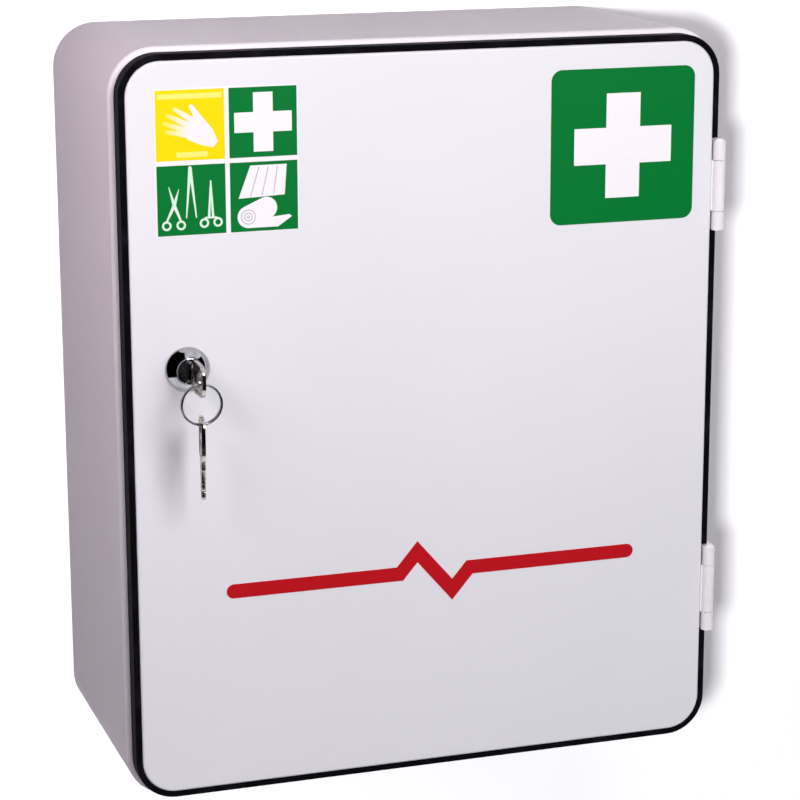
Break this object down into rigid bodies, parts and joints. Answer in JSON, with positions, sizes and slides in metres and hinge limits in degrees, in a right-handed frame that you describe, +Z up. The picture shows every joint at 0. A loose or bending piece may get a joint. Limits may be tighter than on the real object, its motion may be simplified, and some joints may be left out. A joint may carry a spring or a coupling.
{
  "type": "first aid cabinet",
  "caption": "Wall-hung sheet-steel first aid cabinet with a hinged, keyed door on a black rubber edge profile, inner shelves and door racks, and a key ring with a spare key.",
  "frame": {"origin": "centre of the back face, where the cabinet meets the wall", "axes": "+X to the right seen from the front, +Y into the wall, +Z up; the door faces -Y"},
  "size_m": [0.3035, 0.1709, 0.362],
  "materials": {
    "white_paint": "satin powder coat, white with a faint cool tint, very fine orange peel",
    "door_paint": "satin powder coat, white, very fine orange peel",
    "hinge_paint": "satin paint over the hinge, white",
    "black_rubber": "matt black rubber profile with a faint sheen",
    "zinc_steel": "zinc plated",
    "lock_chrome": "polished chrome plate",
    "plug_metal": "plated die casting, a little duller than the rosette",
    "brass_wafer": "stamped brass",
    "key_nickel": "nickel plated, with fine scratches",
    "ring_steel": "bright spring steel wire",
    "white_film": "printed film, white",
    "yellow_film": "printed film, yellow",
    "green_film": "printed film, green",
    "red_film": "printed film, red"
  },
  "bodies": {
    "cabinet": {"body_wrap": "white_paint", "back_panel": "white_paint", "shelf_upper": "white_paint", "shelf_lower": "white_paint", "shelf_rail_upper_left": "white_paint", "shelf_rail_upper_right": "white_paint", "shelf_rail_lower_left": "white_paint", "shelf_rail_lower_right": "white_paint", "hinge_body_leaf_upper": "hinge_paint", "hinge_body_leaf_lower": "hinge_paint", "hinge_pin_upper": "hinge_paint", "hinge_pin_lower": "hinge_paint", "hinge_rivets_upper": "hinge_paint", "hinge_rivets_lower": "hinge_paint"},
    "door": {"hinge_door_leaf_upper": "hinge_paint", "hinge_door_leaf_lower": "hinge_paint", "door_panel": "door_paint", "door_seal": "black_rubber", "door_rack_upper": "white_paint", "door_rack_lower": "white_paint", "rack_studs": "zinc_steel", "rack_nuts": "zinc_steel", "lock_housing": "lock_chrome", "lock_washer": "zinc_steel", "lock_nut": "zinc_steel", "tile_base": "white_film", "tile_glove": "yellow_film", "tile_first_aid": "green_film", "tile_instruments": "green_film", "tile_dressings": "green_film", "tile_cross": "white_film", "sign_plate": "green_film", "sign_cross": "white_film", "pulse_stripe": "red_film"},
    "lock_cylinder": {"lock_plug": "plug_metal", "lock_wafers": "brass_wafer", "lock_cam": "zinc_steel", "cam_screw": "zinc_steel", "key_in_lock": "key_nickel"},
    "key_ring": {"key_ring": "ring_steel"},
    "spare_key": {"spare_key": "key_nickel"}
  },
  "joints": [
    {"name": "door_hinge", "type": "hinge", "parent": "cabinet", "child": "door", "pos_m": [0.14945, -0.1373, 0], "axis": [0, 0, 1], "range_deg": [0, 180]},
    {"name": "plug_turn", "type": "hinge", "parent": "door", "child": "lock_cylinder", "pos_m": [-0.1194, -0.1379, 0.0326], "axis": [0, 1, 0], "range_deg": [0, 90]},
    {"name": "ring_swing", "type": "hinge", "parent": "lock_cylinder", "child": "key_ring", "pos_m": [-0.1194, -0.1634, 0.03095], "axis": [0, 1, 0], "range_deg": [-30, 0]},
    {"name": "spare_key_swing", "type": "hinge", "parent": "key_ring", "child": "spare_key", "pos_m": [-0.1194, -0.1634, 0.02155], "axis": [0, 1, 0], "range_deg": [-60, 0]}
  ],
  "couplings": [
    {"joint": "ring_swing", "follows": "plug_turn", "ratio": -0.3333},
    {"joint": "spare_key_swing", "follows": "plug_turn", "ratio": -0.6666}
  ]
}
